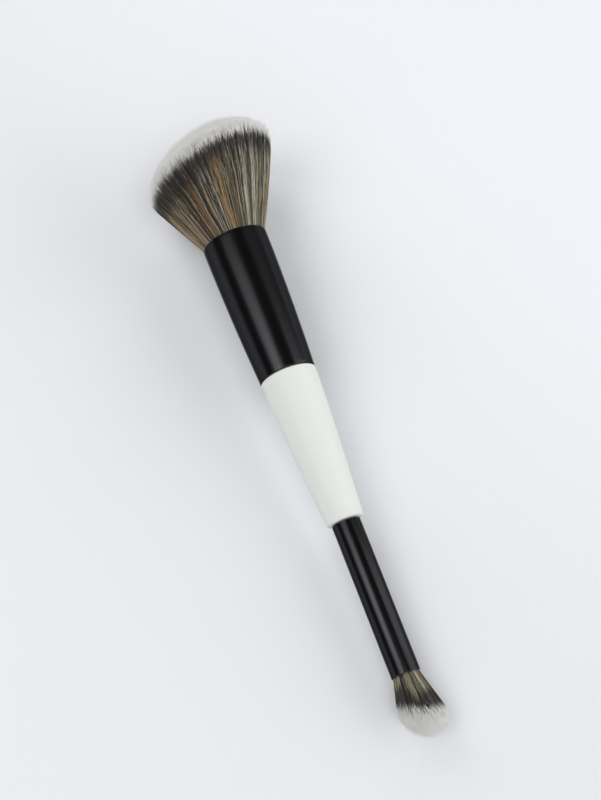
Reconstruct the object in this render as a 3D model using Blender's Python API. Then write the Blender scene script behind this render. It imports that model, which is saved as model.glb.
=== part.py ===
"""Double-ended makeup brush, lying on its two bristle heads.

A large domed face head and a small domed eye head sit in black metal ferrules, which are
cemented over the two tenons of one turned white handle. Sizes are in metres. Stations run
along the brush's own axis, from the rim of the face ferrule at zero towards the eye head.
"""

import math
import random
from dataclasses import dataclass

import bmesh
import bpy
from mathutils import Vector

# Shared fits and edges
CLEARANCE = 0.0003
EDGE_BREAK = 0.0002
REST_CUT = 0.0005
WELD_DISTANCE = 0.000001

# Face ferrule: a drawn tube, nearly straight at the rim and tapering to the handle
FACE_RIM_RADIUS = 0.00905
FACE_FERRULE_LENGTH = 0.0414
FACE_FERRULE_WALL = 0.00045
FACE_TAPER_POWER = 1.75

# Handle: one turned piece with a tenon at each end
SEAM_RADIUS = 0.0077
HANDLE_LENGTH = 0.0423
HANDLE_END_RADIUS = 0.0050
HANDLE_TAPER_POWER = 1.25
HANDLE_END_ROUND = 0.0009
FACE_TENON_LENGTH = 0.0140
EYE_TENON_LENGTH = 0.0130
TENON_CHAMFER = 0.0006

# Eye ferrule: a straight tube
EYE_FERRULE_RADIUS = 0.00385
EYE_FERRULE_LENGTH = 0.0418
EYE_FERRULE_WALL = 0.00035

# Cement between tenon and ferrule, where it is thinnest
FACE_CEMENT_FILM = 0.00025
EYE_CEMENT_FILM = 0.00022

# Bristle heads. A head's length is from rim to tip, and its crown rises by the crown rise
# from the outermost fibres: with the power 2 as a round dome, with less as a blunt cone. The
# lean moves the crown sideways, as a share of its radius.
FACE_HEAD_LENGTH = 0.0360
FACE_SPREAD = math.radians(26.3)
FACE_CROWN_RISE = 0.0126
FACE_CROWN_POWER = 1.5
FACE_LEAN_SHARE = 0.17
EYE_HEAD_LENGTH = 0.0173
EYE_SPREAD = math.radians(14.9)
EYE_CROWN_RISE = 0.0057
EYE_CROWN_POWER = 2
EYE_LEAN_SHARE = 0.20

# Roots: fibres bound by a thread that stops short of both ends, with resin behind them
FACE_ROOT_LENGTH = 0.0035
FACE_BINDING_THICKNESS = 0.0009
FACE_RESIN_LENGTH = 0.0080
EYE_ROOT_LENGTH = 0.0026
EYE_BINDING_THICKNESS = 0.00038
EYE_RESIN_LENGTH = 0.0070
BINDING_MARGIN = 0.0006

# Strands: the gap between them at the root, the places along the stretch beyond the rim
# where a strand bends or changes colour, and how much of its own part of the fan it fills there
FACE_STRAND_GAP = 0.00010
FACE_PLACE_SHARES = (0.68, 0.87)
FACE_FILL_SHARES = (0.90, 0.80)
EYE_STRAND_GAP = 0.00008
EYE_PLACE_SHARES = (0.34, 0.58, 0.86)
EYE_FILL_SHARES = (0.94, 0.90, 0.72)

# Counts
FACE_STRAND_RINGS = 7
EYE_STRAND_RINGS = 4
SEXTANTS = 6
FACE_SEGMENTS = 48
EYE_SEGMENTS = 36
PROFILE_STEPS = 9
ROUND_STEPS = 5
SETTLING_ROUNDS = 8
STREAK_SEED = 5

FULL_TURN = 2 * math.pi
HALF_TURN = math.pi
QUARTER_TURN = math.pi / 2
SHARP_ANGLE = math.radians(35)

# Stations of the joints between the pieces
HANDLE_START = FACE_FERRULE_LENGTH + CLEARANCE
HANDLE_END = HANDLE_START + HANDLE_LENGTH
EYE_RIM = HANDLE_END + CLEARANCE + EYE_FERRULE_LENGTH

# Linear base colour, roughness and metallic value of each finish
FINISHES = {
    "black_lacquered_aluminium": ((0.012, 0.012, 0.013), 0.32, 0.0),
    "white_lacquer": ((0.74, 0.75, 0.71), 0.38, 0.0),
    "clear_cement": ((0.62, 0.52, 0.33), 0.30, 0.0),
    "amber_resin": ((0.45, 0.27, 0.08), 0.25, 0.0),
    "waxed_thread": ((0.55, 0.50, 0.40), 0.80, 0.0),
    "copper_fibre": ((0.30, 0.15, 0.05), 0.60, 0.0),
    "beige_fibre": ((0.34, 0.28, 0.18), 0.60, 0.0),
    "grey_fibre": ((0.11, 0.11, 0.09), 0.60, 0.0),
    "dark_fibre": ((0.035, 0.032, 0.028), 0.60, 0.0),
    "black_fibre": ((0.015, 0.015, 0.014), 0.60, 0.0),
    "white_fibre": ((0.72, 0.70, 0.65), 0.60, 0.0),
}
FIBRE_FINISHES = ("copper_fibre", "beige_fibre", "grey_fibre", "dark_fibre", "black_fibre", "white_fibre")
STREAK_SLOTS = (0, 1, 2, 3)
STREAK_WEIGHTS = (2, 4, 4, 3)
FACE_SLOTS = (4, 5)
EYE_SLOTS = (4, 5, 5)


@dataclass
class End:
    """One end of the brush. Heights run outwards from its ferrule's rim, depths inwards."""

    name: str
    rim_radius: float
    foot_radius: float
    taper_power: float
    ferrule_length: float
    ferrule_wall: float
    tenon_length: float
    cement_film: float
    head_length: float
    spread: float
    crown_rise: float
    crown_power: float
    lean_share: float
    root_length: float
    binding_thickness: float
    resin_length: float
    strand_rings: int
    strand_gap: float
    place_shares: tuple
    fill_shares: tuple
    slots: tuple
    segments: int

    def wall(self, depth):
        """Outer radius of the ferrule."""
        share = depth / self.ferrule_length
        return self.rim_radius - (self.rim_radius - self.foot_radius) * share**self.taper_power

    def bore(self, depth):
        return self.wall(depth) - self.ferrule_wall

    @property
    def tenon_radius(self):
        """What the foot's bore leaves inside the cement, with a clearance on both its sides."""
        return self.bore(self.ferrule_length) - CLEARANCE - self.cement_film - CLEARANCE

    @property
    def root_radius(self):
        """What the rim's bore leaves inside the binding thread, with a clearance on both its sides."""
        return self.bore(0) - CLEARANCE - self.binding_thickness - CLEARANCE

    @property
    def root_depth(self):
        """Depth at which straight fibres have to start to clear the rim."""
        return (self.binding_thickness + CLEARANCE) / math.tan(self.spread)

    @property
    def root_end(self):
        return self.root_depth + self.root_length

    def fan_radius(self, height):
        """Radius of the bundle of fibres."""
        return self.root_radius + (self.root_depth + height) * math.tan(self.spread)

    def crown_height(self, share):
        """Height of the tip of the fibre whose root lies at a share of the root's radius."""
        off_centre = share - Vector((0, self.lean_share, 0))
        return self.head_length - self.crown_rise * off_centre.length**self.crown_power


FACE_END = End(
    name="face",
    rim_radius=FACE_RIM_RADIUS,
    foot_radius=SEAM_RADIUS,
    taper_power=FACE_TAPER_POWER,
    ferrule_length=FACE_FERRULE_LENGTH,
    ferrule_wall=FACE_FERRULE_WALL,
    tenon_length=FACE_TENON_LENGTH,
    cement_film=FACE_CEMENT_FILM,
    head_length=FACE_HEAD_LENGTH,
    spread=FACE_SPREAD,
    crown_rise=FACE_CROWN_RISE,
    crown_power=FACE_CROWN_POWER,
    lean_share=FACE_LEAN_SHARE,
    root_length=FACE_ROOT_LENGTH,
    binding_thickness=FACE_BINDING_THICKNESS,
    resin_length=FACE_RESIN_LENGTH,
    strand_rings=FACE_STRAND_RINGS,
    strand_gap=FACE_STRAND_GAP,
    place_shares=FACE_PLACE_SHARES,
    fill_shares=FACE_FILL_SHARES,
    slots=FACE_SLOTS,
    segments=FACE_SEGMENTS,
)

EYE_END = End(
    name="eye",
    rim_radius=EYE_FERRULE_RADIUS,
    foot_radius=EYE_FERRULE_RADIUS,
    taper_power=1,
    ferrule_length=EYE_FERRULE_LENGTH,
    ferrule_wall=EYE_FERRULE_WALL,
    tenon_length=EYE_TENON_LENGTH,
    cement_film=EYE_CEMENT_FILM,
    head_length=EYE_HEAD_LENGTH,
    spread=EYE_SPREAD,
    crown_rise=EYE_CROWN_RISE,
    crown_power=EYE_CROWN_POWER,
    lean_share=EYE_LEAN_SHARE,
    root_length=EYE_ROOT_LENGTH,
    binding_thickness=EYE_BINDING_THICKNESS,
    resin_length=EYE_RESIN_LENGTH,
    strand_rings=EYE_STRAND_RINGS,
    strand_gap=EYE_STRAND_GAP,
    place_shares=EYE_PLACE_SHARES,
    fill_shares=EYE_FILL_SHARES,
    slots=EYE_SLOTS,
    segments=EYE_SEGMENTS,
)


def clear_scene():
    for item in list(bpy.data.objects):
        bpy.data.objects.remove(item, do_unlink=True)


def finish(name):
    """The material of a finish, made once."""
    if name in bpy.data.materials:
        return bpy.data.materials[name]
    color, roughness, metallic = FINISHES[name]
    material = bpy.data.materials.new(name)
    material.use_nodes = True
    shader = material.node_tree.nodes["Principled BSDF"]
    shader.inputs["Base Color"].default_value = (*color, 1.0)
    shader.inputs["Roughness"].default_value = roughness
    shader.inputs["Metallic"].default_value = metallic
    material.diffuse_color = (*color, 1.0)
    return material


def add_guide(name, parent=None, station=0, turn=0):
    """An empty on the brush's axis, turned about the Y axis."""
    guide = bpy.data.objects.new(name, None)
    bpy.context.scene.collection.objects.link(guide)
    guide.parent = parent
    guide.location = (0, 0, station)
    guide.rotation_euler = (0, turn, 0)
    return guide


def add_piece(name, bm, finishes, parent):
    bmesh.ops.recalc_face_normals(bm, faces=bm.faces)
    mesh = bpy.data.meshes.new(name)
    bm.to_mesh(mesh)
    bm.free()
    for finish_name in finishes:
        mesh.materials.append(finish(finish_name))
    piece = bpy.data.objects.new(name, mesh)
    bpy.context.scene.collection.objects.link(piece)
    piece.parent = parent
    return piece


def add_turned(name, profile, segments, finish_name, parent):
    """Turn a profile of (radius, height) points about the axis into one closed body.

    The profile starts and ends on the axis, or else it is closed into a ring.
    """
    bm = bmesh.new()
    points = [bm.verts.new((radius, 0, height)) for radius, height in profile]
    edges = [bm.edges.new(ends) for ends in zip(points, points[1:])]
    if profile[0][0] > 0:
        edges.append(bm.edges.new((points[-1], points[0])))
    bmesh.ops.spin(
        bm,
        geom=points + edges,
        cent=(0, 0, 0),
        axis=(0, 0, 1),
        angle=FULL_TURN,
        steps=segments,
        use_merge=True,
    )
    bmesh.ops.remove_doubles(bm, verts=bm.verts, dist=WELD_DISTANCE)
    piece = add_piece(name, bm, [finish_name], parent)
    piece.data.shade_smooth()
    piece.data.set_sharp_from_angle(angle=SHARP_ANGLE)
    return piece


def spaced(start, end, steps):
    """Evenly spaced values from start to end, both included."""
    return [start + (end - start) * step / steps for step in range(steps + 1)]


def side(radius_at, start, end, steps, inset=0):
    """Profile points at depths from start to end, inside a radius that follows the depth."""
    return [(radius_at(depth) - inset, -depth) for depth in spaced(start, end, steps)]


def handle_radius(station):
    """Outer radius of the handle, before its end is rounded."""
    share = (station - HANDLE_START) / HANDLE_LENGTH
    return SEAM_RADIUS - (SEAM_RADIUS - HANDLE_END_RADIUS) * share**HANDLE_TAPER_POWER


def rounded_end(radius, station):
    """Quarter round that brings an outline in to an end face."""
    return [
        (radius - HANDLE_END_ROUND * (1 - math.cos(angle)), station + HANDLE_END_ROUND * math.sin(angle))
        for angle in spaced(0, QUARTER_TURN, ROUND_STEPS)[1:]
    ]


def tenon(radius, foot, tip):
    """Profile of a tenon from the middle of its chamfered tip to its foot."""
    chamfer = math.copysign(TENON_CHAMFER, foot - tip)
    return [(0, tip), (radius - TENON_CHAMFER, tip), (radius, tip + chamfer), (radius, foot)]


def add_handle(parent):
    """White handle: face tenon, shoulder, tapering body, rounded end and eye tenon."""
    body_start = HANDLE_START + EDGE_BREAK
    body_end = HANDLE_END - HANDLE_END_ROUND
    profile = tenon(FACE_END.tenon_radius, HANDLE_START, HANDLE_START - FACE_END.tenon_length)
    profile.append((SEAM_RADIUS - EDGE_BREAK, HANDLE_START))
    profile += [(handle_radius(place), place) for place in spaced(body_start, body_end, PROFILE_STEPS)]
    profile += rounded_end(handle_radius(body_end), body_end)
    profile += reversed(tenon(EYE_END.tenon_radius, HANDLE_END, HANDLE_END + EYE_END.tenon_length))
    add_turned("handle", profile, FACE_SEGMENTS, "white_lacquer", parent)


def add_ferrule(end, rim):
    """Black tube with its outer edges broken, from its rim to the foot on the handle's tenon."""
    length = end.ferrule_length
    profile = [(end.wall(0) - EDGE_BREAK, 0)]
    profile += side(end.wall, EDGE_BREAK, length - EDGE_BREAK, PROFILE_STEPS)
    profile += side(end.wall, length, length, 1, EDGE_BREAK)[:1]
    profile += side(end.bore, length, 0, ROUND_STEPS)
    add_turned(f"{end.name}_ferrule", profile, end.segments, "black_lacquered_aluminium", rim)


def add_sleeve(name, end, inner_radius, start, stop, finish_name, rim):
    """A ring between two depths that fills the bore outside an inner radius."""
    profile = side(end.bore, start, stop, ROUND_STEPS, CLEARANCE)
    profile += [(inner_radius, -stop), (inner_radius, -start)]
    add_turned(name, profile, end.segments, finish_name, rim)


def add_cement(end, rim):
    """Cement between the tenon and the foot of the ferrule."""
    tip = end.ferrule_length + CLEARANCE - end.tenon_length
    inner_radius = end.tenon_radius + CLEARANCE
    stop = end.ferrule_length - EDGE_BREAK
    add_sleeve(f"{end.name}_cement", end, inner_radius, tip + TENON_CHAMFER, stop, "clear_cement", rim)


def add_binding(end, rim):
    """Thread wound round the root of the fibres."""
    start = end.root_depth + BINDING_MARGIN
    stop = end.root_end - BINDING_MARGIN
    inner_radius = end.root_radius + CLEARANCE
    add_sleeve(f"{end.name}_binding", end, inner_radius, start, stop, "waxed_thread", rim)


def add_resin(end, rim):
    """Set resin behind the root, which glues the head into its ferrule."""
    start = end.root_end + CLEARANCE
    stop = start + end.resin_length
    profile = [(0, -start)]
    profile += side(end.bore, start, stop, ROUND_STEPS, CLEARANCE)
    profile.append((0, -stop))
    add_turned(f"{end.name}_resin", profile, end.segments, "amber_resin", rim)


def add_root(bm, end):
    """Slice of bound fibres: a disc whose upper face has one triangle for each strand.

    An outer triangle is centred on both ends of the X axis, where the head meets the ground.
    """
    half_step = 0.5 / (SEXTANTS * end.strand_rings)
    hoops = []
    for ring in range(end.strand_rings + 1):
        count = max(1, SEXTANTS * ring)
        radius = end.root_radius * ring / end.strand_rings
        angles = [FULL_TURN * (place / count + half_step) for place in range(count)]
        places = [(radius * math.cos(angle), radius * math.sin(angle), -end.root_end) for angle in angles]
        hoops.append([bm.verts.new(place) for place in places])
    for ring, (inner, outer) in enumerate(zip(hoops, hoops[1:])):
        for sextant in range(SEXTANTS):
            for step in range(ring + 1):
                near = inner[(sextant * ring + step) % len(inner)]
                first = outer[sextant * (ring + 1) + step]
                second = outer[(sextant * (ring + 1) + step + 1) % len(outer)]
                bm.faces.new((near, first, second))
                if step < ring:
                    beside = inner[(sextant * ring + step + 1) % len(inner)]
                    bm.faces.new((near, second, beside))
    underside = list(bm.faces)
    lifted = bmesh.ops.extrude_face_region(bm, geom=underside)["geom"]
    for item in lifted:
        if isinstance(item, bmesh.types.BMVert):
            item.co.z += end.root_length
    bmesh.ops.dissolve_faces(bm, faces=underside, use_verts=True)
    return [item for item in lifted if isinstance(item, bmesh.types.BMFace)]


def grow_strand(bm, root, end, streak):
    """Extrude a root triangle along the fan to a point: streak colour first, then the end's slots."""
    centre = root.calc_center_median() / end.root_radius
    centre.z = 0
    outline = [Vector((corner.co.x, corner.co.y, 0)) / end.root_radius for corner in root.verts]
    top = end.crown_height(centre)
    face = root
    face.material_index = streak
    for place_share, fill_share, slot in zip(end.place_shares, end.fill_shares, end.slots):
        height = top * place_share
        face = bmesh.ops.extrude_discrete_faces(bm, faces=[face])["faces"][0]
        face.material_index = slot
        for corner, place in zip(face.verts, outline):
            moved = centre.lerp(place, fill_share) * end.fan_radius(height)
            corner.co = (moved.x, moved.y, height)
    tip = bmesh.ops.poke(bm, faces=[face])["verts"][0]
    moved = centre * end.fan_radius(top)
    tip.co = (moved.x, moved.y, top)


def add_bristles(end, rim):
    """Strands of a head, fused to their root. None cross, because each keeps to its own part of the fan."""
    bm = bmesh.new()
    cells = add_root(bm, end)
    bmesh.ops.inset_individual(bm, faces=cells, thickness=end.strand_gap / 2, use_even_offset=True)
    streaks = random.Random(STREAK_SEED).choices(STREAK_SLOTS, STREAK_WEIGHTS, k=len(cells))
    for cell, streak in zip(cells, streaks):
        grow_strand(bm, cell, end, streak)
    return add_piece(f"{end.name}_bristles", bm, FIBRE_FINISHES, rim)


def add_end(end, rim):
    """Everything at one end of the brush, in the frame of its rim. Returns the bristles."""
    add_ferrule(end, rim)
    add_cement(end, rim)
    add_resin(end, rim)
    add_binding(end, rim)
    return add_bristles(end, rim)


def lay_down(axis, heads):
    """Tilt and lift the brush so that the ground takes the rest cut off both heads.

    With the axis level, its X axis points down and its Z axis along the ground.
    """
    to_axis = axis.matrix_world.inverted()
    outlines = [[to_axis @ head.matrix_world @ corner.co for corner in head.data.vertices] for head in heads]
    tilt = 0
    for _ in range(SETTLING_ROUNDS):
        down = Vector((math.cos(tilt), 0, math.sin(tilt)))
        face_low, eye_low = (max(outline, key=down.dot) for outline in outlines)
        tilt = math.atan2(face_low.x - eye_low.x, eye_low.z - face_low.z)
    axis.rotation_euler = (0, QUARTER_TURN + tilt, 0)
    axis.location = (0, 0, down.dot(face_low) - REST_CUT)


def centre_on_origin(axis):
    """Move the brush along the ground until the middle of its bounds is over the origin."""
    bpy.context.view_layer.update()
    pieces = [item for item in bpy.context.scene.objects if item.type == "MESH"]
    corners = [piece.matrix_world @ corner.co for piece in pieces for corner in piece.data.vertices]
    for i in (0, 1):
        values = [corner[i] for corner in corners]
        axis.location[i] -= (min(values) + max(values)) / 2
    bpy.context.view_layer.update()


def cut_flat(head):
    """Cut a head off at the ground, and close each cut strand with a flat face."""
    to_head = head.matrix_world.inverted()
    bm = bmesh.new()
    bm.from_mesh(head.data)
    cut = bmesh.ops.bisect_plane(
        bm,
        geom=list(bm.verts) + list(bm.edges) + list(bm.faces),
        dist=WELD_DISTANCE,
        plane_co=to_head @ Vector((0, 0, 0)),
        plane_no=to_head.to_3x3() @ Vector((0, 0, -1)),
        clear_outer=True,
    )
    rims = [item for item in cut["geom_cut"] if isinstance(item, bmesh.types.BMEdge)]
    bmesh.ops.holes_fill(bm, edges=rims)
    bmesh.ops.recalc_face_normals(bm, faces=bm.faces)
    bm.to_mesh(head.data)
    bm.free()


clear_scene()
brush_axis = add_guide("brush_axis")
face_rim = add_guide("face_rim", brush_axis, 0, HALF_TURN)
eye_rim = add_guide("eye_rim", brush_axis, EYE_RIM)
add_handle(brush_axis)
bristle_heads = [add_end(FACE_END, face_rim), add_end(EYE_END, eye_rim)]
bpy.context.view_layer.update()
lay_down(brush_axis, bristle_heads)
bpy.context.view_layer.update()
for bristle_head in bristle_heads:
    cut_flat(bristle_head)
centre_on_origin(brush_axis)
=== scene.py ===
"""The looks of a double-ended makeup brush that lies on its two heads.

The handle and the two ferrules are turned about the brush's axis, finer than the frame's
solids. The heads are thousands of fibres, each head grown by a tree of geometry nodes. Lengths
are in metres, and stations run along the axis from the face ferrule's rim to the eye head.
"""

import math

import bmesh
import bpy
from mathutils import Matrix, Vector


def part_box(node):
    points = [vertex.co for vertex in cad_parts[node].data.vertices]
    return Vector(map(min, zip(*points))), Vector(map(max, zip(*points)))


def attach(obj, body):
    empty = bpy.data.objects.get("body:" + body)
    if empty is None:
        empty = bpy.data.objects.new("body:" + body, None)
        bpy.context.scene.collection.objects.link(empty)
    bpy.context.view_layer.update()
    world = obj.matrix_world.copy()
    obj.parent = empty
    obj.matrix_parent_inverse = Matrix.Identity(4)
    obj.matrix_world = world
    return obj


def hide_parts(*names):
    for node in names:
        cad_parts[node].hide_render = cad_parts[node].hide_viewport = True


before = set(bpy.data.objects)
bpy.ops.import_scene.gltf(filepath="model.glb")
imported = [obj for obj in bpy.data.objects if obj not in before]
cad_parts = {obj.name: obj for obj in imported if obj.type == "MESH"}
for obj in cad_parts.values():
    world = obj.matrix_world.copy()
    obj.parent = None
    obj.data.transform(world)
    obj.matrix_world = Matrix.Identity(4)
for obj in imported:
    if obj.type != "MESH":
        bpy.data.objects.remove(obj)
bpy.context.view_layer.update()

MM = 0.001

# Fits, as in the frame's solids
CLEARANCE = 0.3 * MM
EDGE_BREAK = 0.2 * MM

# Face ferrule
FACE_RIM_RADIUS = 9.05 * MM
FACE_FERRULE_LENGTH = 41.4 * MM
FACE_FERRULE_WALL = 0.45 * MM
FACE_TAPER_POWER = 1.75

# Handle
SEAM_RADIUS = 7.7 * MM
HANDLE_LENGTH = 42.3 * MM
HANDLE_END_RADIUS = 5.0 * MM
HANDLE_TAPER_POWER = 1.25
HANDLE_END_ROUND = 0.9 * MM
HANDLE_SEAM_ROUND = 0.15 * MM
FACE_TENON_RADIUS = 6.4 * MM
FACE_TENON_LENGTH = 14.0 * MM
EYE_TENON_RADIUS = 2.68 * MM
EYE_TENON_LENGTH = 13.0 * MM
TENON_CHAMFER = 0.6 * MM

# Eye ferrule
EYE_FERRULE_RADIUS = 3.85 * MM
EYE_FERRULE_LENGTH = 41.8 * MM
EYE_FERRULE_WALL = 0.35 * MM

# Stations
HANDLE_START = FACE_FERRULE_LENGTH + CLEARANCE
HANDLE_END = HANDLE_START + HANDLE_LENGTH
EYE_FERRULE_START = HANDLE_END + CLEARANCE
EYE_RIM = EYE_FERRULE_START + EYE_FERRULE_LENGTH

# Fineness of the turned pieces
SEGMENTS = 128
WALL_STEPS = 40
ROUND_STEPS = 5
SHARP_ANGLE = math.radians(40)
LEAST_RING_RADIUS = 0.02 * MM

FULL_TURN = 2 * math.pi

# The colour map that the fibres' map coordinates point into: strips side by side, one tone
# each, in three families that run from dark to light
GREY_STRIPS = 24
BROWN_STRIPS = 24
COPPER_STRIPS = 16
TONE_STRIPS = GREY_STRIPS + BROWN_STRIPS + COPPER_STRIPS
STRIP_MARGIN = 0.15

# Along a fibre: how many stretches it has, and where it leaves the rim and changes colour
FIBRE_STRETCHES = 9
BEND_PLACE = 1 / FIBRE_STRETCHES
BAND_START_PLACE = 5 / FIBRE_STRETCHES
BAND_END_PLACE = 7 / FIBRE_STRETCHES

# The two heads. Lengths are along the axis from the rim, and what isn't a length is a share:
# of the root radius, of the fibres or of the length that it changes.
FACE_HEAD = {
    "Root Radius": 7.33 * MM,
    "Root Depth": 2.43 * MM,
    "Root Length": 3.5 * MM,
    "Spread": math.radians(26.3),
    "Head Length": 36.3 * MM,
    "Crown Rise": 12.6 * MM,
    "Crown Power": 1.5,
    "Lean": 0.17,
    "Right Rise": 1.3 * MM,
    "Fibre Radius": 0.062 * MM,
    "Length Scatter": 1.4 * MM,
    "Tip Length": 1.7 * MM,
    "Inner Tips": 8.0 * MM,
    "Right Tips": 0.8,
    "Tip Sides": 0.0,
    "Tip Scatter": 1.4 * MM,
    "Band Length": 5.6 * MM,
    "Band Scatter": 2.8 * MM,
    "Right Band": 0.0,
    "Short Fibres": 0.03,
    "Bundles": 50.0,
    "Locks": 8.0,
    "Clump": 0.47,
    "Coarse Fibres": 0.1,
    "Right Bow": 0.12,
    "Stray": 0.045,
    "Sway": 0.14,
    "Wave": 0.032,
    "Wave Length": 13.0 * MM,
    "Seed": 4,
}
EYE_HEAD = {
    "Root Radius": 2.9 * MM,
    "Root Depth": 2.1 * MM,
    "Root Length": 2.6 * MM,
    "Spread": math.radians(14.9),
    "Head Length": 17.3 * MM,
    "Crown Rise": 5.7 * MM,
    "Crown Power": 2.0,
    "Lean": 0.17,
    "Right Rise": 0.0,
    "Fibre Radius": 0.05 * MM,
    "Length Scatter": 0.6 * MM,
    "Tip Length": 1.9 * MM,
    "Inner Tips": 5.0 * MM,
    "Right Tips": 0.0,
    "Tip Sides": 0.35,
    "Tip Scatter": 0.8 * MM,
    "Band Length": 4.6 * MM,
    "Band Scatter": 2.4 * MM,
    "Right Band": 1.0,
    "Short Fibres": 0.03,
    "Bundles": 18.0,
    "Locks": 3.5,
    "Clump": 0.4,
    "Coarse Fibres": 0.05,
    "Right Bow": 0.0,
    "Stray": 0.07,
    "Sway": 0.12,
    "Wave": 0.04,
    "Wave Length": 9.0 * MM,
    "Seed": 9,
}
# The trees' inputs that are measures or shares
NUMBERS = [name for name in FACE_HEAD if name != "Seed"] + ["First Angle", "Angle Width"]
FACE_TUFTS = 6
FIBRES_IN_FACE_TUFT = 3600
FIBRES_IN_EYE_HEAD = 3600

# Locks of fibres of one look round a head: where the middle of each stands, counted from the
# head's right side over its top, and half of its width, in degrees
FACE_LOCKS = {
    "copper": ((92, 4.5), (121, 1.5), (171, 3.0), (196, 5.0), (4, 3.0)),
    "dark": ((132, 5.0), (113, 3.0), (100, 4.0), (151, 3.0)),
    "light": ((46, 4.0), (20, 6.0), (160, 3.0), (176, 4.0), (188, 8.0), (198, 6.0)),
    "grey": ((110, 5.0), (142, 2.0)),
}
EYE_LOCKS = {
    "copper": ((46, 3.0),),
    "dark": ((124, 6.0), (22, 8.0)),
    "light": ((101, 9.0), (57, 9.0), (150, 14.0)),
    "grey": ((148, 18.0), (122, 12.0), (97, 12.0), (77, 12.0), (60, 8.0)),
}
# A lock fades out between these shares of half its width
LOCK_EDGE = (0.6, 1.3)

# Random numbers from zero to one that each fibre draws for itself or shares with its bundle or
# its lock, named under the attribute that carries three of them
DRAWS = {
    "fibre_draws": ("fibre 1", "fibre 2", "fibre 3"),
    "more_fibre_draws": ("fibre 4", "fibre 5", "fibre 6"),
    "bundle_draws": ("bundle 1", "bundle 2", "bundle 3"),
    "lock_draws": ("lock 1", "lock 2", "lock 3"),
}
MIDDLE_DRAW = 0.5
# Seeds are this many numbers apart, which is more than the draws of one fibre
SEED_STEP = 16

# What the draws weigh where several of them decide
TIP_WEIGHTS = {"bundle 3": 0.25, "fibre 3": 0.75}
BAND_WEIGHTS = {"bundle 3": 0.5, "fibre 2": 0.3, "lock 3": 0.2}
SWAY_WEIGHTS = {"bundle 1": 0.7, "fibre 6": 0.3}
TONE_WEIGHTS = {"bundle 2": 0.45, "lock 1": 0.08, "fibre 2": 0.47}
COPPER_WEIGHTS = {"bundle 3": 0.7, "fibre 3": 0.3}
BROWN_WEIGHTS = {"lock 2": 0.35, "bundle 1": 0.65}

# How far fibres miss the crown, in length scatters: short ones, all of them and whole locks
SHORT_CUT = 3
FIBRE_CUT = 0.6
LOCK_CUT = 0.5

# Shares of the root radius: the inner fibres' long tips end between the first two, and the
# band grows to its full length between the others, on the left and on the right
INNER_END = (0.4, 0.88)
LEFT_BAND = (-0.05, 0.5)
RIGHT_BAND = (0.05, 0.5)
# The share of the band's full length that is left in the middle
MIDDLE_BAND_LENGTH = 0.58

# The waves of a bundle and of its fibres, which start at the rim
BUNDLE_WAVE = 0.6
FIBRE_WAVE = 0.4
FIBRE_WAVE_PACE = 1.4
WAVE_START_SLOPE = 3

# Section: coarse fibres are thicker by this share, and tips are drawn out by a high power
COARSE_EXTRA = 0.7
TAPER_POWER = 5
FIBRE_SIDES = 3

# Tone: from zero for a family's darkest strip to one for its lightest
MIDDLE_TONE = 0.47
TONE_CONTRAST = 2.1
RIGHT_CONTRAST_LOSS = 0.55
RIGHT_TONE_GAIN = 0.05
COARSE_TONE_GAIN = 0.25
DARK_LOCK_LOSS = 0.3
LIGHT_LOCK_GAIN = 0.2
LIGHTEST_TONE = 0.999

# Family: how readily a fibre turns copper or brown, and what a copper lock weighs in it
COPPER_LOCK_WEIGHT = 0.5
COPPER_LIMIT = 0.66
STRAY_COPPER_LIMIT = 0.985
BROWN_SHARE = 0.52
RIGHT_BROWN_LOSS = 0.33

# Tones of the finishes, the darker of a pair first
WHITE_TONES = ((0.728, 0.742, 0.698), (0.75, 0.76, 0.724))
BLACK_TONES = ((0.031, 0.031, 0.0325), (0.036, 0.036, 0.038))
CUT_TONE = (0.16, 0.16, 0.165)
BLACK_SHEEN = (0.45, 0.45, 0.45)
BAND_TONE = (0.0255, 0.025, 0.0235)
TIP_TONE = (0.91, 0.9, 0.868)
THREAD_TONES = ((0.48, 0.43, 0.33), (0.62, 0.57, 0.46))
# The painted shade in the thread's grooves
GROOVE_SHADE_TONE = (0.2, 0.17, 0.12)
RESIN_TONES = ((0.36, 0.19, 0.045), (0.56, 0.35, 0.12))
BUBBLE_TONE = (0.72, 0.56, 0.3)
CEMENT_TONES = ((0.52, 0.42, 0.24), (0.7, 0.61, 0.42))
PAPER_TONES = ((0.778, 0.793, 0.813), (0.793, 0.808, 0.828))
# The paper's painted light, where it is paler
PAINTED_LIGHT_PAPER_TONE = (0.86, 0.87, 0.905)

# Tones of the fibres' three families, each with its place among the family's strips
GREY_TONES = (
    (0.0, (0.027, 0.022, 0.016)),
    (0.3, (0.082, 0.07, 0.048)),
    (0.7, (0.26, 0.236, 0.16)),
    (1.0, (0.58, 0.545, 0.43)),
)
BROWN_TONES = (
    (0.0, (0.026, 0.018, 0.01)),
    (0.35, (0.1, 0.066, 0.036)),
    (0.7, (0.27, 0.2, 0.115)),
    (1.0, (0.58, 0.48, 0.33)),
)
COPPER_TONES = (
    (0.0, (0.13, 0.066, 0.026)),
    (0.5, (0.29, 0.178, 0.074)),
    (1.0, (0.53, 0.37, 0.19)),
)
# How far short of the next family's strips the tones of one end, as a share of the map
FAMILY_GAP = 0.001
# The share of the body's tone that is left in the band
BAND_BODY_SHARE = 0.16
# How far before and after its place along a fibre a colour fades in
BAND_FADE = (0.08, 0.06)
TIP_FADE = (0.06, 0.07)

# Grain of the finishes, per metre
WHITE_MOTTLE = 180
WHITE_PEEL = 1400
BLACK_MOTTLE = 260
DRAWN_LINES = 2600
DRAWN_LENGTH = 90
THREAD_FUZZ = 4000
RESIN_CLOUD = 420
RESIN_BUBBLES = 900
CEMENT_CLOUD = 700
PAPER_TINT = 6
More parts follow.
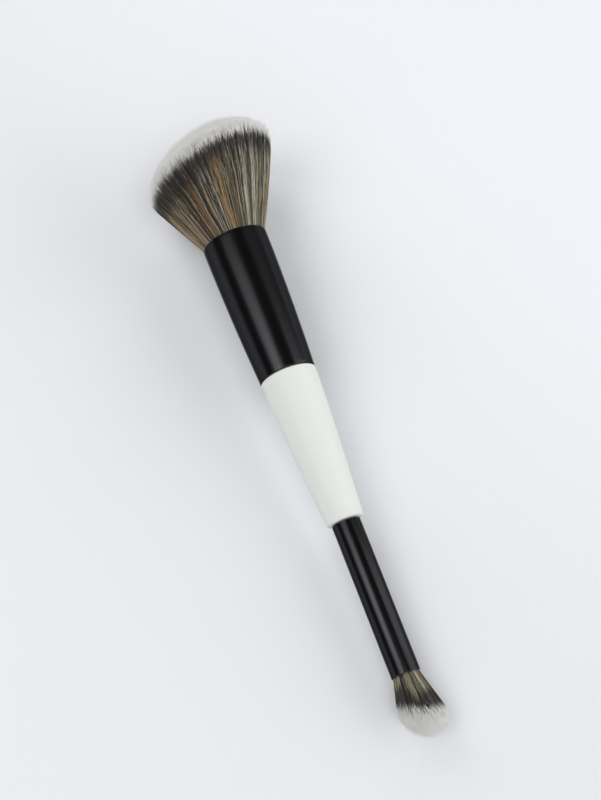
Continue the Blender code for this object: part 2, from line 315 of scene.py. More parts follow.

# Depth of the finishes' grain, one thread turn's length and how dark the painted groove shade gets
PEEL_DEPTH = 0.004 * MM
DRAWN_DEPTH = 0.0015 * MM
THREAD_DEPTH = 0.04 * MM
BUBBLE_DEPTH = 0.05 * MM
CEMENT_DEPTH = 0.08 * MM
THREAD_PITCH = 0.18 * MM
GROOVE_SHADE_SHARE = 0.35
# A bubble's edge fades out between these shares of its cell
BUBBLE_EDGE = (0.1, 0.22)

# The bare metal of a cut rim: how much of it shows, and the distances between which it fades
CUT_SHARE = 0.5
CUT_FADE = (0.02 * MM, 0.16 * MM)

# Painted light on the paper: it is paler along this way over the floor, between these lengths
PAINTED_LIGHT_WAY = (-0.56, 1.3, 0.0)
PAINTED_LIGHT_REACH = (-0.02, 0.17)

# Camera and floor
CAMERA_PLACE = Vector((151.931, -59.871, 401.905)) * MM
CAMERA_AIM = Vector((-5.833, -0.285, 10.0)) * MM
CAMERA_LENS_MM = 72
CAMERA_SENSOR_MM = 36
CAMERA_NEAR = 0.01
CAMERA_FAR = 50
FLOOR_RADIUS = 6.0
FLOOR_SEGMENTS = 64

# Every light is turned to the ground under the middle of the brush
LIGHT_AIM = Vector((0, 0, 0))
# Soft boxes: name, direction, distance, width and height, and glow. A glow of one is as bright
# as white paper in plain light.
LAMPS = (
    ("soft_box", (-0.07, -0.5, 0.87), 1.3, (0.72, 0.95), 1.45),
    ("soft_box_core", (0.03, -0.5, 0.87), 1.25, (0.56, 0.55), 1.95),
    ("right_box", (-0.03, 0.88, 0.475), 1.5, (0.54, 1.4), 1.75),
    ("card", (-0.45, 0.75, 0.58), 1.6, (0.55, 1.4), 0.24),
)
# Soft light from far away: name, direction, width in degrees and level. A level of one alone
# shows a level white sheet as white.
SUNS = (
    ("skylight", (0.45, 0.05, 0.9), 30, 0.2),
    ("window", (-1.0, 0.55, 0.45), 36, 0.06),
    ("right_wall", (0.6, 0.9, 0.4), 44, 0.11),
    ("near_end", (-1.0, -0.35, 0.65), 40, 0.13),
    ("far_end", (1.0, 0.0, 0.6), 50, 0.06),
    ("left_wall", (0.7, -0.75, 0.5), 50, 0.065),
)
# The room: pale at the horizon, dim above these heights
HORIZON_TONE = (0.75, 0.77, 0.8)
CEILING_TONE = (0.085, 0.088, 0.095)
CEILING_START = (0.03, 0.14)


# The brush's axis, from the frame


def middle_of(node):
    low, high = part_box(node)
    return (low + high) / 2


AXIS = (middle_of("eye_ferrule") - middle_of("face_binding")).normalized()
ACROSS = Vector((0, 1, 0))
UPRIGHT = AXIS.cross(ACROSS)
FACE_RIM_CENTRE = middle_of("eye_ferrule") - AXIS * (EYE_RIM - EYE_FERRULE_LENGTH / 2)


def place_on_axis(station):
    return FACE_RIM_CENTRE + AXIS * station


# Node trees


class Wire:
    """An output socket that Python's operators work on."""

    def __init__(self, board, socket):
        self.board = board
        self.socket = socket

    def __add__(self, other):
        return self.board.sum("ADD", self, other)

    def __sub__(self, other):
        return self.board.sum("SUBTRACT", self, other)

    def __rsub__(self, other):
        return self.board.sum("SUBTRACT", other, self)

    def __mul__(self, other):
        return self.board.sum("MULTIPLY", self, other)

    def __truediv__(self, other):
        return self.board.sum("DIVIDE", self, other)

    def __rtruediv__(self, other):
        return self.board.sum("DIVIDE", other, self)

    __radd__ = __add__
    __rmul__ = __mul__

    def __pow__(self, power):
        return self.board.sum("POWER", self, power)

    def clamped(self):
        return self.board.add("ShaderNodeClamp", values={"Value": self}).out("Result")

    def smooth_between(self, low, high):
        """Zero below low, one above high and a soft step between them."""
        return self.board.add(
            "ShaderNodeMapRange",
            {"interpolation_type": "SMOOTHSTEP"},
            {"Value": self, "From Min": low, "From Max": high},
        ).out("Result")

    def parts(self):
        split = self.board.add("ShaderNodeSeparateXYZ", values={"Vector": self})
        return split.out("X"), split.out("Y"), split.out("Z")


class Placed:
    """A node on a board."""

    def __init__(self, board, node):
        self.board = board
        self.node = node

    def out(self, name):
        return Wire(self.board, choose(self.node.outputs, name))


def choose(sockets, key):
    """The socket with that name, identifier or number, in use where several share the name."""
    if isinstance(key, int):
        return sockets[key]
    named = [s for s in sockets if key in (s.name, s.identifier)]
    return next((s for s in named if s.enabled), named[0])


def is_vector(value):
    if isinstance(value, Wire):
        return value.socket.type in ("VECTOR", "RGBA")
    return isinstance(value, (tuple, Vector))


class Board:
    """A node tree that nodes are placed on."""

    def __init__(self, tree):
        self.tree = tree

    def add(self, kind, settings=None, values=None):
        """Places a node: its settings first, then the values or wires of its sockets."""
        node = self.tree.nodes.new(kind)
        for name, value in (settings or {}).items():
            if name == "stops":
                set_stops(node.color_ramp, value)
            elif name == "captures":
                for caught in value:
                    node.capture_items.new("VECTOR", caught)
            else:
                setattr(node, name, value)
        for name, value in (values or {}).items():
            socket = choose(node.inputs, name)
            if isinstance(value, Wire):
                self.tree.links.new(value.socket, socket)
            else:
                socket.default_value = value
        return Placed(self, node)

    def sum(self, operation, *values):
        """Works out numbers, or vectors where any value is one."""
        if any(is_vector(value) for value in values):
            values = [
                (value,) * 3 if isinstance(value, (int, float)) else value for value in values
            ]
            node = self.add(
                "ShaderNodeVectorMath", {"operation": operation}, dict(enumerate(values))
            )
            return node.out("Vector")
        node = self.add("ShaderNodeMath", {"operation": operation}, dict(enumerate(values)))
        return node.out("Value")

    def measure(self, operation, *values):
        """A vector sum whose result is a number, such as a dot product or a length."""
        node = self.add("ShaderNodeVectorMath", {"operation": operation}, dict(enumerate(values)))
        return node.out("Value")

    def blend(self, share, first, second):
        """Mixes two numbers."""
        return self.add(
            "ShaderNodeMix", {"data_type": "FLOAT"}, {"Factor": share, "A": first, "B": second}
        ).out("Result")

    def blend_colours(self, share, first, second):
        return self.add(
            "ShaderNodeMix",
            {"data_type": "RGBA"},
            {"Factor": share, "A": opaque(first), "B": opaque(second)},
        ).out("Result")

    def join(self, x, y, z=0.0):
        return self.add("ShaderNodeCombineXYZ", values={"X": x, "Y": y, "Z": z}).out("Vector")


def opaque(colour):
    return colour if isinstance(colour, Wire) else (*colour, 1)


def set_stops(ramp, stops):
    """Fills a ramp with (place, colour) stops in rising order."""
    while len(ramp.elements) < len(stops):
        ramp.elements.new(1)
    for element, (place, colour) in zip(ramp.elements, stops):
        element.position = place
        element.color = opaque(colour)


# Materials


def new_material(name):
    """A material with an empty board and a function that gives it its shader."""
    material = bpy.data.materials.new(name)
    material.use_nodes = True
    material.node_tree.nodes.clear()
    board = Board(material.node_tree)

    def shade(**values):
        sockets = {socket.replace("_", " "): value for socket, value in values.items()}
        shader = board.add("ShaderNodeBsdfPrincipled", values=sockets)
        board.add("ShaderNodeOutputMaterial", values={"Surface": shader.out("BSDF")})

    return material, board, shade


def object_place(board):
    return board.add("ShaderNodeTexCoord").out("Object")


def station_of(board, place):
    """How far along the brush's axis a place lies, from the face ferrule's rim."""
    return board.measure("DOT_PRODUCT", place - tuple(FACE_RIM_CENTRE), tuple(AXIS))


def noise(board, place, grain, detail):
    values = {"Vector": place, "Scale": grain, "Detail": detail}
    return board.add("ShaderNodeTexNoise", values=values).out("Fac")


def bump(board, height, distance):
    values = {"Height": height, "Distance": distance}
    return board.add("ShaderNodeBump", values=values).out("Normal")


def white_lacquer():
    """Satin white with a slight orange peel."""
    material, board, shade = new_material("white_lacquer")
    place = object_place(board)
    mottle = noise(board, place, WHITE_MOTTLE, detail=3)
    peel = noise(board, place, WHITE_PEEL, detail=2)
    shade(
        Base_Color=board.blend_colours(mottle, *WHITE_TONES),
        Roughness=0.42 + mottle * 0.1,
        Specular_IOR_Level=0.35,
        Normal=bump(board, peel, PEEL_DEPTH),
    )
    return material


def black_lacquer():
    """Black on drawn aluminium: a dark metal, with fine lines along it and bare cut rims."""
    material, board, shade = new_material("black_lacquer")
    place = object_place(board)
    station = station_of(board, place)
    fade_start, fade_end = CUT_FADE
    cut_face = 1 - station.smooth_between(fade_start, fade_end)
    cut_eye = station.smooth_between(EYE_RIM - fade_end, EYE_RIM - fade_start)
    offset = place - tuple(FACE_RIM_CENTRE)
    around = offset - station * tuple(AXIS)
    drawn = noise(board, around * DRAWN_LINES + station * DRAWN_LENGTH, 1, detail=2)
    mottle = noise(board, place, BLACK_MOTTLE, detail=3)
    colour = board.blend_colours(mottle, *BLACK_TONES)
    shade(
        Base_Color=board.blend_colours((cut_face + cut_eye) * CUT_SHARE, colour, CUT_TONE),
        Metallic=1.0,
        Specular_Tint=opaque(BLACK_SHEEN),
        Roughness=0.19 + drawn * 0.05 + mottle * 0.05,
        Normal=bump(board, drawn, DRAWN_DEPTH),
    )
    return material


def family_stops(first_strip, strips, tones):
    """The ramp's stops for one family of strips, ending just short of the next one's."""
    for share, colour in tones:
        place = (first_strip + strips * share) / TONE_STRIPS
        meets_next = share == 1 and first_strip + strips < TONE_STRIPS
        yield (place - FAMILY_GAP if meets_next else place), colour


def bristle_fibre():
    """One tone for each strip of the map, with a black band and pale tips along it."""
    material, board, shade = new_material("bristle_fibre")
    map_place = board.add("ShaderNodeUVMap", {"uv_map": "OFBake"}).out("UV")
    strip, along, _ = (map_place * (TONE_STRIPS, 1.0, 1.0)).parts()
    middle_of_strip = board.sum("FLOOR", strip) + 0.5
    stops = [
        *family_stops(0, GREY_STRIPS, GREY_TONES),
        *family_stops(GREY_STRIPS, BROWN_STRIPS, BROWN_TONES),
        *family_stops(GREY_STRIPS + BROWN_STRIPS, COPPER_STRIPS, COPPER_TONES),
    ]
    ramp_place = {"Fac": middle_of_strip / TONE_STRIPS}
    body = board.add("ShaderNodeValToRGB", {"stops": stops}, ramp_place).out("Color")
    before, after = BAND_FADE
    in_band = along.smooth_between(BAND_START_PLACE - before, BAND_START_PLACE + after)
    before, after = TIP_FADE
    in_tip = along.smooth_between(BAND_END_PLACE - before, BAND_END_PLACE + after)
    colour = board.blend_colours(in_band, body, body * BAND_BODY_SHARE + BAND_TONE)
    colour = board.blend_colours(in_tip, colour, TIP_TONE)
    shade(Base_Color=colour, Roughness=0.45, Specular_IOR_Level=0.4)
    return material


def waxed_thread():
    """Pale thread in close turns, with painted shade in the grooves between them."""
    material, board, shade = new_material("waxed_thread")
    place = object_place(board)
    turns = board.sum("SINE", station_of(board, place) * (FULL_TURN / THREAD_PITCH))
    fuzz = noise(board, place, THREAD_FUZZ, detail=3)
    # Painted shade: the grooves between the turns are darkened in the colour
    in_groove_shade = (turns * -GROOVE_SHADE_SHARE).clamped()
    colour = board.blend_colours(fuzz, *THREAD_TONES)
    shade(
        Base_Color=board.blend_colours(in_groove_shade, colour, GROOVE_SHADE_TONE),
        Roughness=0.6 + fuzz * 0.25,
        Normal=bump(board, turns + fuzz, THREAD_DEPTH),
    )
    return material


def amber_resin():
    """Set resin with a few small bubbles."""
    material, board, shade = new_material("amber_resin")
    place = object_place(board)
    cloud = noise(board, place, RESIN_CLOUD, detail=4)
    cells = board.add("ShaderNodeTexVoronoi", values={"Vector": place, "Scale": RESIN_BUBBLES})
    off_bubble = cells.out("Distance")
    in_bubble = 1 - off_bubble.smooth_between(*BUBBLE_EDGE)
    colour = board.blend_colours(cloud, *RESIN_TONES)
    shade(
        Base_Color=board.blend_colours(in_bubble, colour, BUBBLE_TONE),
        Roughness=0.18 + cloud * 0.15,
        Normal=bump(board, off_bubble, BUBBLE_DEPTH),
    )
    return material


def clear_cement():
    material, board, shade = new_material("clear_cement")
    place = object_place(board)
    cloud = noise(board, place, CEMENT_CLOUD, detail=4)
    shade(
        Base_Color=board.blend_colours(cloud, *CEMENT_TONES),
        Roughness=0.2 + cloud * 0.25,
        Normal=bump(board, cloud, CEMENT_DEPTH),
    )
    return material


def pale_paper():
    """The floor's sheet, with painted light that makes it paler on the right of the face head."""
    material, board, shade = new_material("pale_paper")
    place = object_place(board)
    colour = board.blend_colours(noise(board, place, PAPER_TINT, detail=3), *PAPER_TONES)
    # Painted light: the paper turns paler towards the right of the face head
    painted_light = board.measure("DOT_PRODUCT", place, PAINTED_LIGHT_WAY).smooth_between(*PAINTED_LIGHT_REACH)
    shade(
        Base_Color=board.blend_colours(painted_light, colour, PAINTED_LIGHT_PAPER_TONE),
        Roughness=0.75,
        Specular_IOR_Level=0.25,
    )
    return material


# Turned pieces


def rounded(corners):
    """An outline of (station, radius, round) corners, each round an arc."""
    outline = []
    for index, (station, radius, size) in enumerate(corners):
        corner = Vector((station, radius))
        if not size:
            outline.append(corner)
            continue
        before = Vector(corners[index - 1][:2]) - corner
        after = Vector(corners[(index + 1) % len(corners)][:2]) - corner
        half_angle = before.angle(after) / 2
        reach = size / math.tan(half_angle)
        inward = (before.normalized() + after.normalized()).normalized()
        centre = corner + inward * (size / math.sin(half_angle))
        first = corner + before.normalized() * reach - centre
        last = corner + after.normalized() * reach - centre
        sweep = first.angle(last)
        for step in range(ROUND_STEPS + 1):
            ahead = math.sin(sweep * step / ROUND_STEPS)
            behind = math.sin(sweep * (1 - step / ROUND_STEPS))
            outline.append(centre + (first * behind + last * ahead) / math.sin(sweep))
    return outline


def ring(mesh, station, radius):
    """The corners of a turned outline at one of its points, or one on the axis itself."""
    count = SEGMENTS if radius > LEAST_RING_RADIUS else 1
    angles = [FULL_TURN * part / SEGMENTS for part in range(count)]
    return [
        mesh.verts.new(
            place_on_axis(station)
            + ACROSS * (radius * math.cos(angle))
            + UPRIGHT * (radius * math.sin(angle))
        )
        for angle in angles
    ]


def turn(name, corners, hollow):
    """Turns a rounded outline about the brush's axis. A hollow one closes on itself."""
    mesh = bmesh.new()
    rings = [ring(mesh, station, radius) for station, radius in rounded(corners)]
    pairs = list(zip(rings, rings[1:]))
    if hollow:
        pairs.append((rings[-1], rings[0]))
    for one, other in pairs:
        for part in range(SEGMENTS):
            after = (part + 1) % SEGMENTS
            face = [
                one[part % len(one)],
                one[after % len(one)],
                other[after % len(other)],
                other[part % len(other)],
            ]
            mesh.faces.new(list(dict.fromkeys(face)))
    bmesh.ops.recalc_face_normals(mesh, faces=mesh.faces)
    data = bpy.data.meshes.new(name)
    mesh.to_mesh(data)
    mesh.free()
    data.shade_smooth()
    data.set_sharp_from_angle(angle=SHARP_ANGLE)
    return add_piece(name, data)


def add_piece(name, data):
    piece = bpy.data.objects.new(name, data)
    bpy.context.scene.collection.objects.link(piece)
    return piece


def dress(piece, material, slot, *nodes):
    """Gives a finished piece its material and its place in the frame."""
    if not piece.data.materials:
        piece.data.materials.append(material)
    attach(piece, "root")
    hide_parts(*nodes)


def face_wall_radius(depth):
    share = depth / FACE_FERRULE_LENGTH
    return FACE_RIM_RADIUS - (FACE_RIM_RADIUS - SEAM_RADIUS) * share**FACE_TAPER_POWER


def make_face_ferrule():
    depths = [FACE_FERRULE_LENGTH * step / WALL_STEPS for step in range(WALL_STEPS + 1)]
    ends = (0, WALL_STEPS)
    outer = [
        (depth, face_wall_radius(depth), EDGE_BREAK if step in ends else 0)
        for step, depth in enumerate(depths)
    ]
    inner = [
        (depth, radius - FACE_FERRULE_WALL, edge_break / 2) for depth, radius, edge_break in outer
    ]
    return turn("face_ferrule_tube", outer + inner[::-1], hollow=True)


def make_eye_ferrule():
    bore = EYE_FERRULE_RADIUS - EYE_FERRULE_WALL
    corners = [
        (EYE_FERRULE_START, EYE_FERRULE_RADIUS, EDGE_BREAK),
        (EYE_RIM, EYE_FERRULE_RADIUS, EDGE_BREAK),
        (EYE_RIM, bore, EDGE_BREAK / 2),
        (EYE_FERRULE_START, bore, EDGE_BREAK / 2),
    ]
    return turn("eye_ferrule_tube", corners, hollow=True)


def handle_radius(station):
    share = (station - HANDLE_START) / HANDLE_LENGTH
    return SEAM_RADIUS - (SEAM_RADIUS - HANDLE_END_RADIUS) * share**HANDLE_TAPER_POWER


def make_handle():
    first, last = HANDLE_START - FACE_TENON_LENGTH, HANDLE_END + EYE_TENON_LENGTH
    face_tenon = [
        (first, 0, 0),
        (first, FACE_TENON_RADIUS - TENON_CHAMFER, 0),
        (first + TENON_CHAMFER, FACE_TENON_RADIUS, 0),
        (HANDLE_START, FACE_TENON_RADIUS, 0),
        (HANDLE_START, SEAM_RADIUS, HANDLE_SEAM_ROUND),
    ]
    stations = [HANDLE_START + HANDLE_LENGTH * step / WALL_STEPS for step in range(1, WALL_STEPS)]
    body = [(station, handle_radius(station), 0) for station in stations]
    eye_tenon = [
        (HANDLE_END, HANDLE_END_RADIUS, HANDLE_END_ROUND),
        (HANDLE_END, EYE_TENON_RADIUS, 0),
        (last - TENON_CHAMFER, EYE_TENON_RADIUS, 0),
        (last, EYE_TENON_RADIUS - TENON_CHAMFER, 0),
        (last, 0, 0),
    ]
    return turn("lacquered_handle", face_tenon + body + eye_tenon, hollow=False)


# Bristle heads


def fibre_tree(name, locks):
    """The tree that grows a head: fibres on a disc of roots, fanned out to a domed crown."""
    tree = bpy.data.node_groups.new(name, "GeometryNodeTree")
    tree.interface.new_socket("Geometry", in_out="OUTPUT", socket_type="NodeSocketGeometry")
    inputs = {
        "NodeSocketInt": ("Fibres", "Seed"),
        "NodeSocketFloat": NUMBERS,
        "NodeSocketVector": ("Rim Centre", "Outward"),
        "NodeSocketMaterial": ("Finish",),
    }
    for kind, sockets in inputs.items():
        for socket in sockets:
            tree.interface.new_socket(socket, in_out="INPUT", socket_type=kind)
    board = Board(tree)
    given = board.add("NodeGroupInput").out
    roots, caught = plant_roots(board, given)
    unit, unit_place = unit_fibre(board)
    placed = board.add("GeometryNodeInstanceOnPoints", values={"Points": roots, "Instance": unit})
    grown = board.add(
        "GeometryNodeRealizeInstances", values={"Geometry": placed.out("Instances")}
    ).out("Geometry")
    fibre = Fibre(board, given, caught, unit_place)
    bent = board.add(
        "GeometryNodeSetPosition", values={"Geometry": grown, "Position": fibre.corner_place()}
    ).out("Geometry")
    mapped = board.add(
        "GeometryNodeStoreNamedAttribute",
        {"data_type": "FLOAT2", "domain": "CORNER"},
        {"Geometry": bent, "Name": "OFBake", "Value": fibre.map_place(locks)},
    ).out("Geometry")
    finished = board.add(
        "GeometryNodeSetMaterial", values={"Geometry": mapped, "Material": given("Finish")}
    ).out("Geometry")
    board.add("NodeGroupOutput", values={"Geometry": finished})
    return tree


def chance(board, given, salt):
    """A random number for each fibre, the same in every run."""
    values = {"Min": 0.0, "Max": 1.0, "Seed": given("Seed") * SEED_STEP + salt}
    return board.add("FunctionNodeRandomValue", {"data_type": "FLOAT"}, values).out("Value")


def plant_roots(board, given):
    """Points spread evenly over the disc of roots, with what each fibre needs to know."""
    points = board.add("GeometryNodePoints", values={"Count": given("Fibres")}).out("Points")
    angle = given("First Angle") + given("Angle Width") * chance(board, given, 1)
    reach = board.sum("SQRT", chance(board, given, 2))
    share = board.join(reach * board.sum("COSINE", angle), reach * board.sum("SINE", angle))
    bundles, locks = (
        board.add(
            "ShaderNodeTexVoronoi",
            {"voronoi_dimensions": "2D"},
            {"Vector": share, "Scale": given(size)},
        )
        for size in ("Bundles", "Locks")
    )
    known = {
        "share": share,
        "bundle": bundles.out("Position"),
        "bundle_draws": bundles.out("Color"),
        "lock_draws": locks.out("Color"),
        "fibre_draws": board.join(*(chance(board, given, salt) for salt in (3, 4, 5))),
        "more_fibre_draws": board.join(*(chance(board, given, salt) for salt in (6, 7, 8))),
    }
    kept = board.add(
        "GeometryNodeCaptureAttribute",
        {"domain": "POINT", "captures": tuple(known)},
        {"Geometry": points} | known,
    )
    return kept.out("Geometry"), kept.out


def unit_fibre(board):
    """A fibre one unit long and one in radius, and the place of each of its corners."""
    sizes = {
        "Vertices": FIBRE_SIDES,
        "Side Segments": FIBRE_STRETCHES,
        "Radius Top": 0.0,
        "Radius Bottom": 1.0,
        "Depth": 1.0,
    }
    cone = board.add("GeometryNodeMeshCone", {"fill_type": "TRIANGLE_FAN"}, sizes).out("Mesh")
    smooth = board.add("GeometryNodeSetShadeSmooth", values={"Geometry": cone}).out("Geometry")
    kept = board.add(
        "GeometryNodeCaptureAttribute",
        {"domain": "POINT", "captures": ("unit_place",)},
        {"Geometry": smooth, "unit_place": board.add("GeometryNodeInputPosition").out("Position")},
    )
    return kept.out("Geometry"), kept.out("unit_place")


class Fibre:
    """The sums that shape and colour the fibres, from what roots and corners know."""

    def __init__(self, board, given, caught, unit_place):
        self.board = board
        self.given = given
        self.share = caught("share")
        self.bundle = caught("bundle")
        self.draws = {
            name: draw
            for kept, names in DRAWS.items()
            for name, draw in zip(names, caught(kept).parts())
        }
        self.across, self.upright, _ = self.share.parts()
        self.rightward = board.sum("MAXIMUM", self.across, 0.0)
        self.is_coarse = board.sum("LESS_THAN", self.draws["fibre 4"], given("Coarse Fibres"))
        side, front, self.along = unit_place.parts()
        self.side, self.front, _ = board.sum("NORMALIZE", board.join(side, front)).parts()

        # Where the bound roots end and the fibres fan out
        self.bend = given("Root Depth") * -1

    def weighed(self, weights):
        """The draws that weights names, added up by their weights."""
        parts = [self.draws[name] * weight for name, weight in weights.items()]
        total = parts[0]
        for part in parts[1:]:
            total = total + part
        return total

    def tip_height(self):
        """How high the fibre reaches: to the domed crown, or a little short of it."""
        given, draws = self.given, self.draws
        off_crown = self.board.join(self.across - given("Lean"), self.upright)
        off_crown = self.board.measure("LENGTH", off_crown)
        drop = off_crown ** given("Crown Power") * given("Crown Rise")
        is_short = self.board.sum("LESS_THAN", draws["fibre 5"], given("Short Fibres"))
        cut = is_short * draws["fibre 6"] * SHORT_CUT
        cut = cut + draws["fibre 1"] * FIBRE_CUT + draws["lock 2"] * LOCK_CUT
        crown = given("Head Length") - drop + self.rightward * given("Right Rise")
        return crown - cut * given("Length Scatter")

    def band_heights(self, tip):
        """Where the black band starts and where it ends in the pale tip."""
        given = self.given
        scatter = given("Tip Scatter") * (self.weighed(TIP_WEIGHTS) - MIDDLE_DRAW)
        inside = 1 - self.board.measure("LENGTH", self.share).smooth_between(*INNER_END)
        sides = self.board.sum("ABSOLUTE", self.across) * given("Tip Sides")
        tip_length = given("Tip Length") * (1 + sides + self.rightward * given("Right Tips"))
        end = tip - tip_length - inside * given("Inner Tips") - scatter
        scatter = given("Band Scatter") * (self.weighed(BAND_WEIGHTS) - MIDDLE_DRAW)
        left = (self.across * -1).smooth_between(*LEFT_BAND)
        right = self.across.smooth_between(*RIGHT_BAND) * given("Right Band")
        length_share = MIDDLE_BAND_LENGTH + (left + right) * (1 - MIDDLE_BAND_LENGTH)
        start = end - given("Band Length") * length_share - scatter
        return start, end

    def height(self):
        """How high the corner is, from root to tip, with the band's ends on their stretches."""
        tip = self.tip_height()
        band_start, band_end = self.band_heights(tip)
        root = self.bend - self.given("Root Length")
        places = (0, BEND_PLACE, BAND_START_PLACE, BAND_END_PLACE, 1)
        heights = (root, self.bend, band_start, band_end, tip)
        height = root
        for index in range(len(places) - 1):
            first, last = places[index : index + 2]
            done = ((self.along - first) / (last - first)).clamped()
            height = height + (heights[index + 1] - heights[index]) * done
        return height

    def wave(self, height, free):
        """The slow waves of the bundle and the quicker ones of the fibre itself."""
        turns = height / self.given("Wave Length")
        bundle_phase = turns + self.draws["bundle 2"]
        fibre_phase = turns * FIBRE_WAVE_PACE + self.draws["fibre 5"]
        bundle_wave = self.board.sum("SINE", bundle_phase * FULL_TURN)
        fibre_wave = self.board.sum("SINE", fibre_phase * FULL_TURN)
        both = bundle_wave * BUNDLE_WAVE + fibre_wave * FIBRE_WAVE
        return both * (free * WAVE_START_SLOPE).clamped()

    def middle_place(self):
        """The middle of the fibre at the corner's height, never under the ground."""
        board, given, draws = self.board, self.given, self.draws
        height = self.height()
        rise = board.sum("MAXIMUM", height - self.bend, 0.0)
        fan = given("Root Radius") + rise * board.sum("TANGENT", given("Spread"))
        free = (rise / given("Head Length")).clamped()

        # Drawn towards its bundle, astray by itself and swayed about the axis
        pull = free * given("Clump") * (1 - self.is_coarse)
        drawn = self.share + (self.bundle - self.share) * pull
        astray = board.join(draws["fibre 2"] - MIDDLE_DRAW, draws["fibre 3"] - MIDDLE_DRAW)
        sway = (self.weighed(SWAY_WEIGHTS) - MIDDLE_DRAW) * (free * given("Sway"))
        sway = sway + self.wave(height, free) * given("Wave")
        swayed = board.join(self.upright * sway * -1, self.across * sway)
        place_share = drawn + astray * (free * free * given("Stray")) + swayed

        # Bowed in on the right
        across, upright, _ = place_share.parts()
        across = across * (1 - self.rightward * (free * free) * given("Right Bow"))
        middle = (
            given("Rim Centre")
            + given("Outward") * height
            + across * fan * tuple(ACROSS)
            + upright * fan * tuple(UPRIGHT)
        )
        x, y, z = middle.parts()
        return board.join(x, y, board.sum("MAXIMUM", z, given("Fibre Radius")))

    def corner_place(self):
        """The corner's place on its side of the fibre, the right way round for either head."""
        thickness = self.given("Fibre Radius") * (1 + self.is_coarse * COARSE_EXTRA)
        thickness = thickness * (1 - self.along**TAPER_POWER)

        # Growing against the axis would turn the fibre inside out, so its sides swap there
        handed = self.board.measure("DOT_PRODUCT", self.given("Outward"), tuple(AXIS))
        side = self.side * handed
        twist = self.draws["fibre 1"] * FULL_TURN
        cosine, sine = self.board.sum("COSINE", twist), self.board.sum("SINE", twist)
        return (
            self.middle_place()
            + (side * cosine - self.front * sine) * thickness * tuple(ACROSS)
            + (side * sine + self.front * cosine) * thickness * tuple(UPRIGHT)
        )

    def in_lock(self, locks):
        """One inside any of the locks, zero outside them all."""
        angle = self.board.sum("ARCTAN2", self.across * -1, self.upright) + math.pi / 2
        inside = 0.0
        for middle, half_width in locks:
            off = self.board.sum("ABSOLUTE", angle - math.radians(middle))
            first, last = (math.radians(half_width * share) for share in LOCK_EDGE)
            inside = self.board.sum("MAXIMUM", 1 - off.smooth_between(first, last), inside)
        return inside

    def tone(self, locks):
        """How light the fibre is, from zero to just under one."""
        contrast = TONE_CONTRAST - self.across * RIGHT_CONTRAST_LOSS
        tone = (self.weighed(TONE_WEIGHTS) - MIDDLE_DRAW) * contrast + MIDDLE_TONE
        tone = tone + self.across * RIGHT_TONE_GAIN + self.is_coarse * COARSE_TONE_GAIN
        tone = tone - self.in_lock(locks["dark"]) * DARK_LOCK_LOSS
        tone = tone + self.in_lock(locks["light"]) * LIGHT_LOCK_GAIN
        return tone.clamped() * LIGHTEST_TONE

    def map_place(self, locks):
        """The corner's place on the colour map: in the strip of its family and its tone."""
        board = self.board
        near_copper = self.in_lock(locks["copper"]) * COPPER_LOCK_WEIGHT
        near_copper = near_copper + self.weighed(COPPER_WEIGHTS) * (1 - COPPER_LOCK_WEIGHT)
        in_copper = board.sum("GREATER_THAN", near_copper, COPPER_LIMIT)
        stray_copper = board.sum("GREATER_THAN", self.draws["bundle 1"], STRAY_COPPER_LIMIT)
        is_copper = board.sum("MAXIMUM", in_copper, stray_copper)
        brown_share = BROWN_SHARE - self.across * RIGHT_BROWN_LOSS - self.in_lock(locks["grey"])
        is_brown = board.sum("LESS_THAN", self.weighed(BROWN_WEIGHTS), brown_share)
        tone = self.tone(locks)
        grey = board.sum("FLOOR", tone * GREY_STRIPS)
        brown = GREY_STRIPS + board.sum("FLOOR", tone * BROWN_STRIPS)
        copper = GREY_STRIPS + BROWN_STRIPS + board.sum("FLOOR", tone * COPPER_STRIPS)
        strip = board.blend(is_copper, board.blend(is_brown, grey, brown), copper)
        over_strip = 0.5 + self.front / math.sqrt(3)
        in_strip = STRIP_MARGIN + (1 - 2 * STRIP_MARGIN) * over_strip
        return board.join((strip + in_strip) / TONE_STRIPS, self.along)


def grow(name, tree, sizes):
    """Grows fibres with the tree and keeps them as a plain mesh."""
    piece = add_piece(name, bpy.data.meshes.new(name))
    growth = piece.modifiers.new("growth", "NODES")
    growth.node_group = tree
    for socket in tree.interface.items_tree:
        if socket.in_out == "INPUT":
            growth[socket.identifier] = sizes[socket.name]
    graph = bpy.context.evaluated_depsgraph_get()
    data = bpy.data.meshes.new_from_object(piece.evaluated_get(graph))
    piece.modifiers.remove(growth)
    piece.data = data
    data.name = name
    return piece


def make_face_head(material):
    """The face head, in tufts like slices of a cake that each have their own seed."""
    tree = fibre_tree("face_fibres", FACE_LOCKS)
    for tuft in range(FACE_TUFTS):
        sizes = FACE_HEAD | {
            "First Angle": FULL_TURN * tuft / FACE_TUFTS,
            "Angle Width": FULL_TURN / FACE_TUFTS,
            "Seed": FACE_HEAD["Seed"] + tuft,
            "Fibres": FIBRES_IN_FACE_TUFT,
            "Rim Centre": FACE_RIM_CENTRE,
            "Outward": -AXIS,
            "Finish": material,
        }
        piece = grow(f"face_tuft_{tuft + 1}", tree, sizes)
        dress(piece, material, "bristle_fibre", "face_bristles")


def make_eye_head(material):
    sizes = EYE_HEAD | {
        "First Angle": 0.0,
        "Angle Width": FULL_TURN,
        "Fibres": FIBRES_IN_EYE_HEAD,
        "Rim Centre": place_on_axis(EYE_RIM),
        "Outward": AXIS,
        "Finish": material,
    }
    piece = grow("eye_tuft", fibre_tree("eye_fibres", EYE_LOCKS), sizes)
    dress(piece, material, "bristle_fibre", "eye_bristles")


def finish_hidden_pieces():
    """The frame's own solids inside the ferrules keep their shape and get their materials."""
    hidden = {
        waxed_thread(): ("face_binding", "eye_binding"),
        amber_resin(): ("face_resin", "eye_resin"),
        clear_cement(): ("face_cement", "eye_cement"),
    }
    for material, nodes in hidden.items():
        for name in nodes:
            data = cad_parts[name].data
            data.materials.clear()
            data.materials.append(material)


# The stage


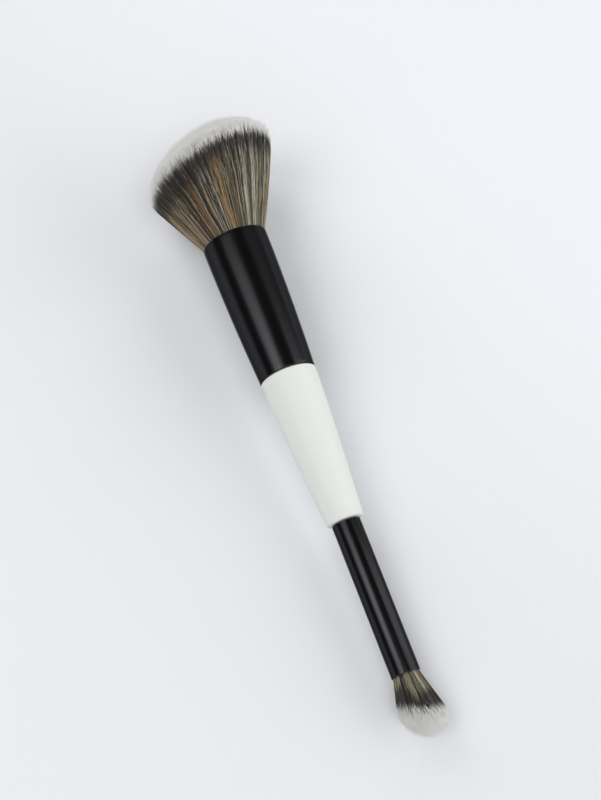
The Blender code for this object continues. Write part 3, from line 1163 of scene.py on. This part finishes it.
def stand(name, data, place, aim):
    """Puts a camera or a lamp at a place and turns it to its aim."""
    thing = bpy.data.objects.new(name, data)
    thing.location = place
    thing.rotation_mode = "QUATERNION"
    thing.rotation_quaternion = (aim - place).to_track_quat("-Z", "Y")
    bpy.context.scene.collection.objects.link(thing)
    return thing


def stand_camera():
    data = bpy.data.cameras.new("camera")
    data.lens = CAMERA_LENS_MM
    data.sensor_width = CAMERA_SENSOR_MM
    data.sensor_fit = "AUTO"
    data.clip_start = CAMERA_NEAR
    data.clip_end = CAMERA_FAR
    bpy.context.scene.camera = stand("camera", data, CAMERA_PLACE, CAMERA_AIM)


def lay_floor():
    """A round sheet of pale paper on the ground, much wider than the picture."""
    mesh = bmesh.new()
    bmesh.ops.create_circle(mesh, cap_ends=True, segments=FLOOR_SEGMENTS, radius=FLOOR_RADIUS)
    data = bpy.data.meshes.new("floor")
    mesh.to_mesh(data)
    mesh.free()
    floor = add_piece("floor", data)
    data.materials.append(pale_paper())


def hang_lamp(name, direction, distance, size, glow):
    width, height = size
    data = bpy.data.lights.new(name, "AREA")
    data.shape = "RECTANGLE"
    data.size = width
    data.size_y = height
    data.energy = glow * math.pi * width * height
    stand(name, data, Vector(direction).normalized() * distance, LIGHT_AIM)


def hang_sun(name, direction, width, level):
    data = bpy.data.lights.new(name, "SUN")
    away = Vector(direction).normalized()
    data.angle = math.radians(width)
    data.energy = level * math.pi / away.z
    stand(name, data, away, LIGHT_AIM)


def light_studio():
    """Soft light: a soft box over the left side, one low on the right and a dim room."""
    for lamp in LAMPS:
        hang_lamp(*lamp)
    for sun in SUNS:
        hang_sun(*sun)
    world = bpy.data.worlds.new("room")
    world.use_nodes = True
    world.node_tree.nodes.clear()
    board = Board(world.node_tree)
    _, _, height = board.add("ShaderNodeTexCoord").out("Generated").parts()
    above = height.smooth_between(*CEILING_START)
    colour = board.blend_colours(above, HORIZON_TONE, CEILING_TONE)
    glow = board.add("ShaderNodeBackground", values={"Color": colour, "Strength": 1.0})
    board.add("ShaderNodeOutputWorld", values={"Surface": glow.out("Background")})
    bpy.context.scene.world = world


def build():
    black = black_lacquer()
    dress(make_face_ferrule(), black, "black_lacquered_aluminium", "face_ferrule")
    dress(make_eye_ferrule(), black, "black_lacquered_aluminium", "eye_ferrule")
    dress(make_handle(), white_lacquer(), "white_lacquer", "handle")
    bristle = bristle_fibre()
    make_face_head(bristle)
    make_eye_head(bristle)
    finish_hidden_pieces()
    stand_camera()
    lay_floor()
    light_studio()
    bpy.context.scene.view_settings.view_transform = "Standard"


build()
